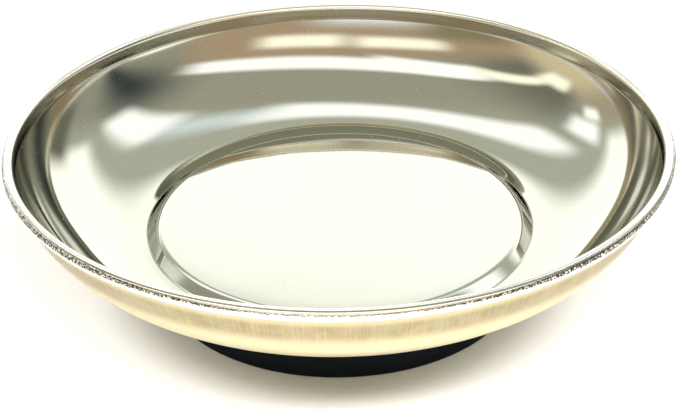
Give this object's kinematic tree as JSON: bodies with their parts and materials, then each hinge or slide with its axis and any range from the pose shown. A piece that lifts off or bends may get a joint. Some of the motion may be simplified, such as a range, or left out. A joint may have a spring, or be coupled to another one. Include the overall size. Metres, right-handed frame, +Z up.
{
  "type": "magnetic parts tray",
  "caption": "Round pressed steel dish with a rolled rim and a raised middle, standing on a rubber-booted ring magnet; holds small steel parts and clings to steel surfaces.",
  "frame": {"origin": "centre of the rubber boot's underside, on the surface that the tray stands on", "axes": "+Z up along the tray's axis, out of the bowl; X and Y are free because the tray is round"},
  "size_m": [0.15, 0.15, 0.0385],
  "materials": {
    "polished_steel": "polished",
    "plated_steel": "satin",
    "foam": "matte",
    "ferrite": "matte",
    "hub_plastic": "matte",
    "boot_rubber": "matte"
  },
  "bodies": {
    "root": {"dish": "polished_steel", "weld_nut": "plated_steel", "foam_pad": "foam", "backing_plate": "plated_steel", "ring_magnet": "ferrite", "magnet_hub": "hub_plastic", "rubber_boot": "boot_rubber", "washer": "plated_steel", "centre_screw": "plated_steel"}
  },
  "joints": []
}
